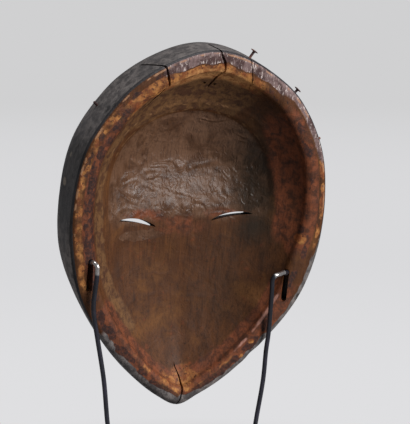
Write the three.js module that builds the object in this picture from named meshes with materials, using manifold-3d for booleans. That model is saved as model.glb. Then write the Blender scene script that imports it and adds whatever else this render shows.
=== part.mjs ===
// A carved wooden face mask with an open hollow back, held on two bent steel arms above a steel foot.
// Units are millimetres. +Z is up, the face looks along -Y and the hollow back opens towards +Y.
// The origin is the middle of the foot's underside.

import * as THREE from 'three';
import { mergeVertices } from 'three/addons/utils/BufferGeometryUtils.js';
import Module from 'manifold-3d';

const wasm = await Module();
wasm.setup();

// Mask, in its own frame: chin at the origin, rim in the plane y = 0, z up the face.
const maskHeight = 236;
const maskWidth = 170.5;
const foreheadDepth = 60;
const chinDepth = 34;
const wallSquareness = 4;
const rimWidth = 14.5;
const rimOuterBevel = 3;
const chinBevel = 7;
const rimInnerBevel = 5;
const rimInnerDrop = 4;
const rimRound = 0.3;
const foreheadHollow = 38;
const faceHollow = 27;
const hollowCurve = 3;
const hollowSoftness = 0.86;
const ringCentreShare = 0.508;
const outlineSteps = 68;
const frontRings = 16;
const hollowRings = 11;
const weldDistance = 1e-4;

// The rim's outline on each side, as shares of half the width and of the height. The left side runs
// from the chin to the crown, and the right side, which is fuller at the cheek, has what lies between.
const outlineShares = {
  left: [
    [0, -0.013], [0.168, 0.016], [0.367, 0.072], [0.614, 0.165], [0.864, 0.309], [0.959, 0.43],
    [1, 0.572], [0.934, 0.731], [0.697, 0.871], [0.485, 0.937], [0.216, 0.985], [0, 1],
  ],
  right: [
    [0.168, 0.017], [0.372, 0.067], [0.626, 0.158], [0.901, 0.301], [0.996, 0.427],
    [1.022, 0.573], [0.938, 0.732], [0.702, 0.873], [0.484, 0.936], [0.216, 0.986],
  ],
};
// The wall swells outwards beside the cheeks, all of it from cheekFlare.fullFrom of the way out, and
// less in the two rings next to the rim.
const cheekFlare = { standsOut: 3.6, up: 0.44, spreads: 0.1, startsAt: 0.7, fullFrom: 0.95 };
const flareNearRim = [0.6, 0.25];
// The rim is wider where it carries the hook on the right.
const rimSwell = { wider: 3.2, up: 0.35, spreads: 0.11 };

// Eye slits, cut right through.
const slitInnerEnd = 19;
const slitLength = 27;
const slitHeight = 3.4;
const slitFall = 0.14;
const slitMiddleDepth = 26.5;
const slitLevelShare = 0.4864;
const slitArch = 4.9;
const slitPeak = 0.78;
const slitUnevenness = 1.6;
const slitEndShare = 0.12;
const slitFullness = 0.55;
const slitSteps = 9;

// Upright slots in the rim that take the hooks of the stand. Each slot's upper end lies this far in
// from the outline, at a share of the height, and the slot turns outwards under the rim.
const rodDiameter = 3;
const hookClearance = 0.4;
const slotLength = 22;
const slotDepth = 9;
const slots = {
  left: { inward: 11.9, up: 0.423, turn: THREE.MathUtils.degToRad(20) },
  right: { inward: 18.1, up: 0.3746, turn: THREE.MathUtils.degToRad(38) },
};
const hookBite = 7;

// Nose: sections from the brow to the nostrils, by height share, half width and depth in front of the rim.
const noseSections = [
  { up: 0.58, half: 3, front: 52 },
  { up: 0.55, half: 4.5, front: 50.5 },
  { up: 0.508, half: 5, front: 49.5 },
  { up: 0.44, half: 7, front: 54 },
  { up: 0.39, half: 9.5, front: 58.5 },
  { up: 0.356, half: 13, front: 60.5 },
  { up: 0.335, half: 13, front: 58 },
  { up: 0.32, half: 9, front: 47 },
];
const noseBack = 33;
const noseSides = 16;

// Rounded masses of the face: the height share and depth of each one's middle, and its half sizes.
const upperLip = { up: 0.247, front: 36, half: [22, 13, 8] };
const lowerLip = { up: 0.195, front: 35.5, half: [18.5, 13, 7.5] };
const chinBoss = { up: 0.1, front: 26, half: [20, 9, 14] };
const massSides = 20;
const massRings = 10;

// Broad forms of the face that stand out of the plain dome, or sink into it: millimetres at the middle
// of each form, with its middle and its spread as shares of the height and of half the width.
const foreheadForm = { standsOut: 5, up: 0.74, rises: 0.17, across: 0, spreads: 0.62 };
const muzzleForm = { standsOut: 5, up: 0.22, rises: 0.09, across: 0, spreads: 0.42 };
const lidForm = { standsOut: 3.5, up: 0.49, rises: 0.035, across: 0.38, spreads: 0.17 };
const eyeHollow = { sinksIn: 20, across: 0.4, spreads: 0.32, brow: [0.53, 0.6], cheek: [0.33, 0.46] };
const reliefFadesFrom = 0.8;

// Nails left in the rim.
const nailShank = 1.7;
const nailHead = 5;
const nailHeadThickness = 0.9;
const nailBite = 11;
const nailClearance = 0.3;
const nailSides = 12;
const nails = [
  { name: 'rim_nail_crown', side: -1, up: 0.9765, forward: 6, tilt: 32, standsOut: 5.5, head: true },
  { name: 'rim_nail_temple', side: -1, up: 0.882, forward: 6, tilt: 41, standsOut: 3.2, head: true },
  { name: 'nail_stub_left', side: 1, up: 0.826, forward: 24, tilt: 45, standsOut: 2.4, head: false },
  { name: 'nail_stub_right', side: -1, up: 0.754, forward: 5, tilt: 69, standsOut: 1.6, head: false },
];

// Cracks that run from the rim into the hollow: points of the line as shares of half the mask's width
// and of its height, with half widths, the depth of the crack and its drift on the way to the face.
const cracks = [
  { line: [[0.4, 0.975], [0.364, 0.941], [0.346, 0.915], [0.323, 0.888], [0.364, 0.864], [0.422, 0.835]],
    halves: [0.7, 0.8, 0.9, 0.7, 0.5, 0.2], depth: 24, drift: [9, -5] },
  { line: [[-0.012, 1.017], [-0.035, 0.994], [-0.062, 0.97], [-0.076, 0.941], [-0.07, 0.907],
    [-0.053, 0.873], [-0.041, 0.839]],
    halves: [0.5, 0.7, 0.9, 0.8, 0.7, 0.5, 0.2], depth: 18, drift: [2.5, 0] },
  { line: [[0.018, -0.013], [-0.006, 0.021], [-0.018, 0.051], [0.012, 0.085], [0.047, 0.127]],
    halves: [0.5, 0.6, 0.6, 0.4, 0.2], depth: 12, drift: [0, 0] },
];

// Stand.
const maskLean = THREE.MathUtils.degToRad(14);
const maskRoll = THREE.MathUtils.degToRad(-0.9);
const chinAboveFloor = 73;
const chinBehindFootMiddle = -2;
const footLength = 150;
const footDepth = 110;
const footThickness = 8;
const footCorner = 6;
const armSpread = 92;
const armLandsAt = 4;
const armBite = 6;
const armClearance = 0.35;
// The crook where an arm turns out of its slot: steps inwards, behind the rim and upwards.
const armCrooks = {
  left: [
    { inward: 0.8, behind: 2.6, above: 0.4 }, { inward: 2.2, behind: 4.4, above: -1.4 },
    { inward: 2.4, behind: 4.8, above: -4 },
  ],
  right: [
    { inward: 2.8, behind: 2.6, above: 1.4 }, { inward: 6.6, behind: 4.8, above: 1.4 },
    { inward: 10, behind: 6, above: 0.9 }, { inward: 11.8, behind: 6.2, above: -1.3 },
  ],
};
// Stations of each arm behind the rim: height share, reach inwards from the outline, gap behind the rim.
const armStations = {
  left: [
    { up: 0.386, inward: 12.6, gap: 3.2 }, { up: 0.351, inward: 10.3, gap: 2.7 },
    { up: 0.317, inward: 7.3, gap: 2.2 }, { up: 0.288, inward: 4.8, gap: 1.9 },
    { up: 0.247, inward: 1.5, gap: 1.6 }, { up: 0.2, inward: -3.1, gap: 1.6 },
  ],
  right: [
    { up: 0.345, inward: 27.6, gap: 4.1 }, { up: 0.311, inward: 23.8, gap: 3.3 },
    { up: 0.274, inward: 18.7, gap: 2.6 }, { up: 0.235, inward: 12, gap: 2 },
    { up: 0.193, inward: 4.3, gap: 1.7 }, { up: 0.154, inward: -3, gap: 1.7 },
  ],
};
// Below the rim each arm drops towards the foot: steps inwards, backwards and down from its last station.
const armDrops = {
  left: [{ inward: 6, back: 0.9, down: 25.9 }, { inward: 10.8, back: 2.4, down: 55.4 }],
  right: [{ inward: -0.3, back: 0.4, down: 21.2 }, { inward: 2.2, back: 2.3, down: 51.7 }],
};
// The last bend above the foot.
const lastBend = { outward: 1.5, forward: 0.5, up: 22 };
const rodSides = 10;
const rodSteps = 45;

const halfWidth = maskWidth / 2;
const ringCentre = new THREE.Vector2(0, ringCentreShare * maskHeight);

// Smooth rise from 0 to 1 between two values, which may come in either order.
function rise(value, from, to) {
  const share = THREE.MathUtils.clamp((value - from) / (to - from), 0, 1);
  return share * share * (3 - 2 * share);
}
// Rounded hump that is 1 in its middle and fades over a width.
const hump = (value, middle, width) => Math.exp(-(((value - middle) / width) ** 2));

// Solids in and out of the boolean library.
function solidOf(geometry) {
  const bare = geometry.clone();
  bare.deleteAttribute('normal');
  bare.deleteAttribute('uv');
  const merged = mergeVertices(bare, weldDistance);
  const mesh = new wasm.Mesh({
    numProp: 3,
    vertProperties: Float32Array.from(merged.attributes.position.array),
    triVerts: Uint32Array.from(merged.index.array),
  });
  return new wasm.Manifold(mesh);
}

function geometryOf(solid) {
  const { vertProperties, triVerts } = solid.getMesh();
  const geometry = new THREE.BufferGeometry();
  geometry.setAttribute('position', new THREE.BufferAttribute(Float32Array.from(vertProperties), 3));
  geometry.setIndex(new THREE.BufferAttribute(Uint32Array.from(triVerts), 1));
  geometry.computeVertexNormals();
  return geometry;
}

// The outline of the rim, as evenly spaced points that run chin, left side, crown, right side.
function rimOutline() {
  const placed = (side) => ([across, up]) => (
    new THREE.Vector3(side * across * halfWidth, 0, up * maskHeight)
  );
  const left = outlineShares.left.map(placed(1));
  const right = outlineShares.right.map(placed(-1)).reverse();
  const curve = new THREE.CatmullRomCurve3([...left, ...right], true, 'centripetal');
  curve.arcLengthDivisions = 1200;
  return curve.getSpacedPoints(outlineSteps).slice(0, outlineSteps);
}

// Broad carving of the face, as millimetres that stand out of the plain dome.
function faceRelief(x, z) {
  const across = Math.abs(x) / halfWidth;
  const up = z / maskHeight;
  let relief = 0;
  for (const form of [foreheadForm, muzzleForm, lidForm]) {
    relief += form.standsOut * hump(up, form.up, form.rises) * hump(across, form.across, form.spreads);
  }
  const { sinksIn, brow, cheek } = eyeHollow;
  const betweenBrowAndCheek = rise(up, brow[1], brow[0]) * rise(up, cheek[0], cheek[1]);
  return relief - sinksIn * betweenBrowAndCheek * hump(across, eyeHollow.across, eyeHollow.spreads);
}

// Depth of the face in front of the rim plane, at a share of the way from the middle to the outline.
function faceDepth(x, z, share) {
  const upTheFace = rise(z, 0.25 * maskHeight, 0.64 * maskHeight);
  const dome = THREE.MathUtils.lerp(chinDepth, foreheadDepth, upTheFace);
  const profile = (1 - share ** wallSquareness) ** (1 / wallSquareness);
  return dome * profile + faceRelief(x, z) * rise(share, 1, reliefFadesFrom);
}

// Depth of the hollow behind the face, at a share of the way from the middle to the rim's inner edge.
function hollowDepth(z, share) {
  const upTheHollow = rise(z, 0.5 * maskHeight, 0.7 * maskHeight);
  const deepest = THREE.MathUtils.lerp(faceHollow, foreheadHollow, upTheHollow);
  return rimInnerDrop + (deepest - rimInnerDrop) * (1 - share ** hollowCurve) ** hollowSoftness;
}

// A ring of points between the middle and the outline. Each point is pulled in from the outline by
// inset millimetres, scaled by share, and lowered by depthAt.
function ringPoints(outline, inset, share, depthAt) {
  return outline.map((point) => {
    const ray = new THREE.Vector2(point.x, point.z).sub(ringCentre);
    const reach = (ray.length() - inset(point)) * share;
    const spot = ray.setLength(reach).add(ringCentre);
    return [spot.x, -depthAt(spot.x, spot.y), spot.y];
  });
}

function maskGeometry() {
  const outline = rimOutline();
  const bevel = (z) => THREE.MathUtils.lerp(chinBevel, rimOuterBevel, rise(z, 0, 0.3 * maskHeight));
  const flare = (share) => ({ z }) => (
    -share * cheekFlare.standsOut * hump(z / maskHeight, cheekFlare.up, cheekFlare.spreads)
  );
  const rimAt = ({ x, z }) => (
    rimWidth + (x < 0 ? rimSwell.wider : 0) * hump(z / maskHeight, rimSwell.up, rimSwell.spreads)
  );
  const rings = [];
  for (let k = 1; k < frontRings; k += 1) {
    const share = 1 - (1 - k / frontRings) ** 2;
    const flared = flare(rise(share, cheekFlare.startsAt, cheekFlare.fullFrom));
    rings.push(ringPoints(outline, flared, share, (x, z) => faceDepth(x, z, share)));
  }
  rings.push(ringPoints(outline, flare(flareNearRim[0]), 1, (x, z) => 2 * bevel(z)));
  rings.push(ringPoints(outline, flare(flareNearRim[1]), 1, (x, z) => bevel(z)));
  rings.push(ringPoints(outline, ({ z }) => rimRound * bevel(z), 1, (x, z) => rimRound * bevel(z)));
  rings.push(ringPoints(outline, ({ z }) => bevel(z), 1, () => 0));
  rings.push(ringPoints(outline, (p) => rimAt(p) - rimInnerBevel, 1, () => 0));
  const innerRound = (p) => rimAt(p) - rimRound * rimInnerBevel;
  rings.push(ringPoints(outline, innerRound, 1, () => rimRound * rimInnerDrop));
  for (let k = hollowRings; k > 0; k -= 1) {
    const share = (k / hollowRings) ** 0.8;
    rings.push(ringPoints(outline, rimAt, share, (x, z) => hollowDepth(z, share)));
  }
  const frontMiddle = [ringCentre.x, -faceDepth(ringCentre.x, ringCentre.y, 0), ringCentre.y];
  const backMiddle = [ringCentre.x, -hollowDepth(ringCentre.y, 0), ringCentre.y];
  const positions = [frontMiddle, ...rings.flat(), backMiddle].flat();
  const last = rings.length * outlineSteps + 1;
  const index = [];
  for (let i = 0; i < outlineSteps; i += 1) {
    const next = (i + 1) % outlineSteps;
    index.push(0, 1 + i, 1 + next);
    for (let k = 0; k + 1 < rings.length; k += 1) {
      const a = 1 + k * outlineSteps;
      const b = a + outlineSteps;
      index.push(a + i, b + i, b + next);
      index.push(a + i, b + next, a + next);
    }
    const end = last - outlineSteps;
    index.push(last, end + next, end + i);
  }
  const geometry = new THREE.BufferGeometry();
  geometry.setAttribute('position', new THREE.Float32BufferAttribute(positions, 3));
  geometry.setIndex(index);
  return geometry;
}

// Nose: rounded sections stacked from the brow down to the nostrils.
function noseGeometry() {
  const rings = noseSections.map(({ up, half, front }) => {
    const z = up * maskHeight;
    const middle = (front + noseBack) / 2;
    return Array.from({ length: noseSides }, (_, i) => {
      const angle = 2 * Math.PI * i / noseSides;
      return [half * Math.sin(angle), -middle - (front - middle) * Math.cos(angle), z];
    });
  });
  const index = [];
  const last = (rings.length - 1) * noseSides;
  for (let i = 0; i < noseSides; i += 1) {
    const next = (i + 1) % noseSides;
    for (let k = 0; k < last; k += noseSides) {
      index.push(k + i, k + noseSides + i, k + next);
      index.push(k + next, k + noseSides + i, k + noseSides + next);
    }
    if (i > 0 && next > 0) {
      index.push(0, i, next);
      index.push(last, last + next, last + i);
    }
  }
  const geometry = new THREE.BufferGeometry();
  geometry.setAttribute('position', new THREE.Float32BufferAttribute(rings.flat(2), 3));
  geometry.setIndex(index);
  return geometry;
}

function massGeometry({ up, front, half }) {
  const ball = new THREE.SphereGeometry(1, massSides, massRings);
  return ball.scale(...half).translate(0, -front, up * maskHeight);
}

// A flat outline in the plane of the rim, cut from the back towards the face.
function cutThrough(points, from, to) {
  const shape = new THREE.Shape(points);
  const geometry = new THREE.ExtrudeGeometry(shape, { depth: from - to, bevelEnabled: false, steps: 1 });
  geometry.rotateX(Math.PI / 2);
  geometry.translate(0, from, 0);
  return geometry;
}

// A narrow outline around a line of points, with its own half width at each point.
function ribbon(line, halfWidths) {
  const sides = line.map((point, i) => {
    const before = line[Math.max(i - 1, 0)];
    const after = line[Math.min(i + 1, line.length - 1)];
    const along = after.clone().sub(before).normalize();
    const step = along.rotateAround(new THREE.Vector2(), Math.PI / 2).multiplyScalar(halfWidths[i]);
    return [point.clone().add(step), point.clone().sub(step)];
  });
  return [...sides.map((pair) => pair[0]), ...sides.map((pair) => pair[1]).reverse()];
}

// Lean a cutter: it moves by these millimetres across and up for each millimetre towards the face.
function leaning(geometry, across, up) {
  return geometry.applyMatrix4(new THREE.Matrix4().set(
    1, -across, 0, 0,
    0, 1, 0, 0,
    0, -up, 1, 0,
    0, 0, 0, 1,
  ));
}

// Eye slits: a low arch that rises from the nose and is highest near its outer end. They fall towards
// the face, and are at their stated level in the depth of the hollow.
function slitCutter(side) {
  const line = [];
  const halves = [];
  const level = slitLevelShare * maskHeight - side * slitUnevenness + slitFall * slitMiddleDepth;
  for (let k = 0; k <= slitSteps; k += 1) {
    const t = k / slitSteps;
    const lift = slitArch * t * (2 * slitPeak - t) / slitPeak ** 2;
    const fullness = Math.max(slitEndShare, Math.sin(Math.PI * t) ** slitFullness);
    line.push(new THREE.Vector2(side * (slitInnerEnd + slitLength * t), level + lift));
    halves.push(slitHeight / 2 * fullness);
  }
  return leaning(cutThrough(ribbon(line, halves), 2, -1.5 * foreheadDepth), 0, -slitFall);
}

function crackCutter({ line, halves, depth, drift }) {
  const points = line.map(([across, up]) => new THREE.Vector2(across * halfWidth, up * maskHeight));
  const above = 1;
  const geometry = cutThrough(ribbon(points, halves), above, -depth);
  return leaning(geometry, drift[0] / depth, drift[1] / depth);
}

// The point of the rim's outline at a height on one side.
function outlineAt(side, level) {
  const half = rimOutline().filter((p) => side * p.x > -1e-6).sort((a, b) => a.z - b.z);
  const above = half.findIndex((p) => p.z > level);
  const [low, high] = [half[above - 1], half[above]];
  return low.clone().lerp(high, (level - low.z) / (high.z - low.z));
}

// Slots: upright rounded pockets. A hook enters the slot's upper end.
function slotFrame(side, { inward, up, turn }) {
  const half = rodDiameter / 2 + hookClearance;
  const straight = slotLength / 2 - half;
  const hookAt = outlineAt(side, up * maskHeight);
  hookAt.x -= side * inward;
  const along = new THREE.Vector3(0, 0, 1);
  const spot = hookAt.clone().addScaledVector(along, -straight);
  const into = new THREE.Vector3(side * Math.sin(turn), -Math.cos(turn), 0);
  return { half, straight, spot, along, into, hookAt };
}

function slotCutter(side, slot) {
  const { half, straight, spot, along, into } = slotFrame(side, slot);
  const shape = new THREE.Shape();
  shape.absarc(0, straight, half, 0, Math.PI, false);
  shape.absarc(0, -straight, half, Math.PI, 2 * Math.PI, false);
  const overshoot = 8;
  const geometry = new THREE.ExtrudeGeometry(shape, {
    depth: slotDepth + overshoot, bevelEnabled: false, curveSegments: 6, steps: 1,
  });
  geometry.translate(0, 0, -overshoot);
  const frame = new THREE.Matrix4().makeBasis(new THREE.Vector3().crossVectors(along, into), along, into);
  if (frame.determinant() < 0) frame.scale(new THREE.Vector3(-1, 1, 1));
  return geometry.applyMatrix4(frame.setPosition(spot));
}

// Nails: a round shank in the wood, with a domed head on the whole ones.
function nailGeometry({ standsOut, head }, grow = 0) {
  const shank = nailShank / 2 + grow;
  const profile = [new THREE.Vector2(0, -nailBite - grow), new THREE.Vector2(shank, -nailBite - grow)];
  if (head && grow === 0) {
    profile.push(new THREE.Vector2(shank, standsOut - nailHeadThickness));
    profile.push(new THREE.Vector2(nailHead / 2, standsOut - nailHeadThickness * 0.4));
    profile.push(new THREE.Vector2(nailHead / 2 * 0.75, standsOut));
  } else {
    profile.push(new THREE.Vector2(shank, standsOut));
  }
  profile.push(new THREE.Vector2(0, standsOut));
  const geometry = new THREE.LatheGeometry(profile, nailSides);
  return geometry.rotateX(Math.PI / 2);
}

// Set a nail in the outer wall. Its tilt is the angle from upright, in degrees.
function placeNail(geometry, { side, up, forward, tilt }) {
  const spot = outlineAt(side, up * maskHeight);
  geometry.rotateY(side * THREE.MathUtils.degToRad(tilt));
  return geometry.translate(spot.x, -forward, spot.z);
}

function maskSolid() {
  let solid = solidOf(maskGeometry()).add(solidOf(noseGeometry()));
  for (const mass of [upperLip, lowerLip, chinBoss]) solid = solid.add(solidOf(massGeometry(mass)));
  const cutters = [
    slitCutter(1), slitCutter(-1),
    slotCutter(1, slots.left), slotCutter(-1, slots.right),
    ...cracks.map(crackCutter),
    ...nails.map((nail) => placeNail(nailGeometry(nail, nailClearance), nail)),
  ];
  for (const cutter of cutters) solid = solid.subtract(solidOf(cutter));
  return geometryOf(solid);
}

// Materials.
const wood = new THREE.MeshStandardMaterial({ color: 0x6b4327, roughness: 0.6, metalness: 0 });
const rust = new THREE.MeshStandardMaterial({ color: 0x4a3230, roughness: 0.8, metalness: 0.6 });
const steel = new THREE.MeshStandardMaterial({ color: 0x2b2c33, roughness: 0.45, metalness: 0.9 });

// Scene graph.
const part = new THREE.Group();
const maskGroup = new THREE.Group();
maskGroup.rotation.set(-maskLean, maskRoll, 0, 'XYZ');
maskGroup.position.set(0, chinBehindFootMiddle, chinAboveFloor);
part.add(maskGroup);

function addMesh(parent, name, geometry, material) {
  const mesh = new THREE.Mesh(geometry, material);
  mesh.name = name;
  parent.add(mesh);
  return mesh;
}

addMesh(maskGroup, 'mask', maskSolid(), wood);
for (const nail of nails) addMesh(maskGroup, nail.name, placeNail(nailGeometry(nail), nail), rust);

// Arms: a hook in the slot, a crook, a run behind the rim that follows the mask, and a drop into the
// foot. The steps of the curve are spread evenly over its points, so that the bends get more of them.
maskGroup.updateMatrix();
function armPath(side, slot, crook, stations, drops) {
  const { hookAt, into } = slotFrame(side, slot);
  const points = [hookAt.clone().addScaledVector(into, hookBite), hookAt];
  for (const { inward, behind, above } of crook) {
    points.push(new THREE.Vector3(hookAt.x - side * inward, behind, hookAt.z + above));
  }
  for (const { up, inward, gap } of stations) {
    const spot = outlineAt(side, up * maskHeight);
    points.push(new THREE.Vector3(spot.x - side * inward, rodDiameter / 2 + gap, spot.z));
  }
  const last = points[points.length - 1];
  for (const { inward, back, down } of drops) {
    points.push(new THREE.Vector3(last.x - side * inward, last.y + back, last.z - down));
  }
  for (const point of points) point.applyMatrix4(maskGroup.matrix);
  const landing = new THREE.Vector3(side * armSpread / 2, armLandsAt, footThickness);
  const { outward, forward, up } = lastBend;
  points.push(landing.clone().add(new THREE.Vector3(side * outward, -forward, up)));
  points.push(landing, landing.clone().setZ(footThickness - armBite + armClearance));
  const path = new THREE.CatmullRomCurve3(points, false, 'centripetal');
  path.getUtoTmapping = (share) => share;
  return path;
}

function armGeometry(path) {
  const section = new THREE.Shape();
  section.absarc(0, 0, rodDiameter / 2, 0, 2 * Math.PI, false);
  return new THREE.ExtrudeGeometry(section, {
    extrudePath: path, steps: rodSteps, curveSegments: rodSides / 2,
  });
}

const leftArm = armPath(1, slots.left, armCrooks.left, armStations.left, armDrops.left);
const rightArm = armPath(-1, slots.right, armCrooks.right, armStations.right, armDrops.right);
addMesh(part, 'stand_arm_left', armGeometry(leftArm), steel);
addMesh(part, 'stand_arm_right', armGeometry(rightArm), steel);

// Foot: a plain plate with rounded corners and two blind holes for the arms.
function footGeometry() {
  const x = footLength / 2 - footCorner;
  const y = footDepth / 2 - footCorner;
  const shape = new THREE.Shape();
  shape.absarc(x, y, footCorner, 0, Math.PI / 2, false);
  shape.absarc(-x, y, footCorner, Math.PI / 2, Math.PI, false);
  shape.absarc(-x, -y, footCorner, Math.PI, 1.5 * Math.PI, false);
  shape.absarc(x, -y, footCorner, 1.5 * Math.PI, 2 * Math.PI, false);
  const plate = new THREE.ExtrudeGeometry(shape, {
    depth: footThickness, bevelEnabled: false, curveSegments: 6,
  });
  let solid = solidOf(plate);
  for (const side of [-1, 1]) {
    const radius = rodDiameter / 2 + armClearance;
    const length = armBite + footThickness;
    const hole = new THREE.CylinderGeometry(radius, radius, length, rodSides);
    hole.rotateX(Math.PI / 2);
    hole.translate(side * armSpread / 2, armLandsAt, footThickness - armBite + length / 2);
    solid = solid.subtract(solidOf(hole));
  }
  return geometryOf(solid);
}
addMesh(part, 'stand_foot', footGeometry(), steel);

export default part;
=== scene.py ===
"""A carved wooden mask, seen into its hollow back, held by two bent wires above a steel foot."""

import math

import bmesh
import bpy
import numpy as np
from mathutils import Matrix, Vector, noise
from mathutils.kdtree import KDTree


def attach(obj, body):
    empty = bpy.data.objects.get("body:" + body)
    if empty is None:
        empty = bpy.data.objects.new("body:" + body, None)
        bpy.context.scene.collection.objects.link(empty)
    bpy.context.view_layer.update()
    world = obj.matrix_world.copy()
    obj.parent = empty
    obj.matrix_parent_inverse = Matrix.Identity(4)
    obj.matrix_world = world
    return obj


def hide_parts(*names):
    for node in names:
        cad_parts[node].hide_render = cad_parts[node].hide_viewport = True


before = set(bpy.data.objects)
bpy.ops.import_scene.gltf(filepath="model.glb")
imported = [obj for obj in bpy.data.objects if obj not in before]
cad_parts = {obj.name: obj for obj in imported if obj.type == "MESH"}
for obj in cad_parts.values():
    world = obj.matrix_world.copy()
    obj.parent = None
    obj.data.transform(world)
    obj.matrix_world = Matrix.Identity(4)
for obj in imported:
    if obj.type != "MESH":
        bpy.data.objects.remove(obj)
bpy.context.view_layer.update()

MM = 0.001

# Camera of the photograph.
CAMERA_AZIMUTH = math.radians(158)
CAMERA_ELEVATION = math.radians(5)
CAMERA_DISTANCE = 1.25
CAMERA_AIM = Vector((-0.0118, 0.0128, 0.1989))
FOCAL_PIXELS = 1953
PHOTO_WIDTH = 410
SENSOR_WIDTH = 36

# How bright the pale room is as a light, beside how bright it looks.
ROOM_LIGHT = 0.3
# Studio lights: name, direction, distance and width in metres, and watts.
LIGHTS = [("window", (-0.52, 0.8, 0.3), 1.7, 0.9, 42), ("ceiling", (0.1, 0.25, 1), 1.5, 0.9, 14)]
LIGHT_AIM = Vector((0, 0.02, 0.19))

# The mask in its own frame, in millimetres: chin near the origin, rim in the plane y = 0 with the
# face towards -y, x to the left as seen from behind, z up the face.
MASK_LEAN = math.radians(-14)
MASK_ROLL = math.radians(-0.9)
MASK_PLACE = Vector((0, -0.002, 0.073))
HEIGHT = 236.0
HALF_WIDTH = 170.5 / 2
FOREHEAD_DEPTH = 60
CHIN_DEPTH = 34
WALL_SQUARENESS = 4
# Where the rounded wall begins, as a share of the face's depth.
WALL_START = 0.5
RIM_WIDTH = 14.5
RIM_OUTER_BEVEL = 3
CHIN_BEVEL = 7
RIM_INNER_BEVEL = 5
RIM_INNER_DROP = 4
FOREHEAD_HOLLOW = 38
FACE_HOLLOW = 27
MIDDLE_UP = 0.508 * HEIGHT
# The rim's outline on each side, in shares of half the width and of the height.
OUTLINE_LEFT = [
    (0, -0.013), (0.168, 0.016), (0.367, 0.072), (0.614, 0.165), (0.864, 0.309), (0.959, 0.43),
    (1, 0.572), (0.934, 0.731), (0.697, 0.871), (0.485, 0.937), (0.216, 0.985), (0, 1),
]
OUTLINE_RIGHT = [
    (0.168, 0.017), (0.372, 0.067), (0.626, 0.158), (0.901, 0.301), (0.996, 0.427),
    (1.022, 0.573), (0.938, 0.732), (0.702, 0.873), (0.484, 0.936), (0.216, 0.986),
]
# The wall flares out over the cheeks, and the rim is wider on the right: millimetres, height
# share and its spread. The flare grows with the share of the wall's depth, away from the rim.
CHEEK_FLARE = (3.6, 0.44, 0.1)
FLARE_ON_WALL = ([0.05, 0.1, 0.36], [0.25, 0.6, 1])
RIM_SWELL = (3.2, 0.35, 0.11)
# Swellings of the face: millimetres forward, height share and spread, width share and spread.
SWELLINGS = [(5, 0.74, 0.17, 0, 0.62), (5, 0.22, 0.09, 0, 0.42), (3.5, 0.49, 0.035, 0.38, 0.17)]
EYE_SUNK = 20
# Nose from the top down: height share, half width, millimetres in front of the rim.
NOSE = [(0.58, 3, 52), (0.55, 4.5, 50.5), (0.508, 5, 49.5), (0.44, 7, 54), (0.39, 9.5, 58.5),
        (0.356, 13, 60.5), (0.335, 13, 58), (0.32, 9, 47)]
NOSE_BACK = 33
# Lips and chin: height share, millimetres in front of the rim, half sizes wide, deep and tall.
LIPS_AND_CHIN = [(0.247, 36, (22, 13, 8)), (0.195, 35.5, (18.5, 13, 7.5)), (0.1, 26, (20, 9, 14))]

# The eye slits fall towards the face by this much, and are in place at this depth.
SLIT_FALL = 0.25
SLIT_MIDDLE_DEPTH = 26.5
SLIT_LEVEL = 0.4864 * HEIGHT
SLIT_START = 19
SLIT_LENGTH = 27
SLIT_HALF = 1.25
SLIT_TOOL_START = 2
SLIT_TOOL_END = -80

# Cracks: the line in shares of half the width and of the height, half widths along it, seed,
# wander from the line, how deep it goes and its sideways drift on the way.
CRACKS = [
    ([(0.4, 0.975), (0.364, 0.941), (0.346, 0.915), (0.323, 0.888), (0.364, 0.864), (0.422, 0.835)],
     [0.7, 0.8, 0.9, 0.7, 0.5, 0.2], 4, 0.45, 24, (9, -5)),
    ([(-0.012, 1.017), (-0.035, 0.994), (-0.062, 0.97), (-0.076, 0.941), (-0.07, 0.907),
      (-0.053, 0.873), (-0.041, 0.839)],
     [0.5, 0.7, 0.9, 0.8, 0.7, 0.5, 0.2], 7, 0.45, 18, (2.5, 0)),
    ([(-0.258, 1.0), (-0.271, 0.975), (-0.287, 0.947), (-0.299, 0.918), (-0.326, 0.878)],
     [0.15, 0.3, 0.3, 0.25, 0.12], 10, 0.3, 12, (0, 0)),
    ([(0.018, -0.013), (-0.006, 0.021), (-0.018, 0.051), (0.012, 0.085), (0.047, 0.127)],
     [0.5, 0.6, 0.6, 0.4, 0.2], 13, 0.45, 12, (0, 0)),
]

# Worm holes in the crown's wall: x, z and radius.
WORM_HOLES = [(1.2, 210.1, 0.95), (-5.6, 209.4, 0.9), (-5.2, 215.5, 0.35), (9.5, 206.5, 0.4)]
WORM_HOLE_MIDDLE = 10
WORM_HOLE_LENGTH = 16
WORM_HOLE_WAY = (0.1, 1, -0.3)

# How finely the mask is carved: bands of rings from the middle of the face to the middle of the
# hollow, and how much the rings of the face and the hollow crowd together.
AROUND = 352
RINGS = {"face": 100, "wall": 26, "outer bevel": 8, "rim": 16, "inner bevel": 10, "hollow": 100}
BANDS = np.cumsum([0, *RINGS.values()])
ALL_RINGS = int(BANDS[-1])
FACE_CROWDING = 1.5
HOLLOW_CROWDING = 1.25

# Wires.
ROD_RADIUS = 1.5
ROD_SPANS = 14
SLOT_LENGTH = 22
SLOT_DEPTH = 9
SLOT_LEAD = 8
HOOK_CLEARANCE = 0.4
HOOK_BITE = 7
# By side, left as seen from behind being 1. Slots: millimetres in from the outline, height share
# and turn.
SLOTS = {1: (11.9, 0.423, math.radians(20)), -1: (18.1, 0.3746, math.radians(38))}
# Crooks of the arms beside their slots: steps inwards, behind the rim and upwards.
ARM_CROOKS = {
    1: [(0.8, 2.6, 0.4), (2.2, 4.4, -1.4), (2.4, 4.8, -4)],
    -1: [(2.8, 2.6, 1.4), (6.6, 4.8, 1.4), (10, 6, 0.9), (11.8, 6.2, -1.3)],
}
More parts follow.
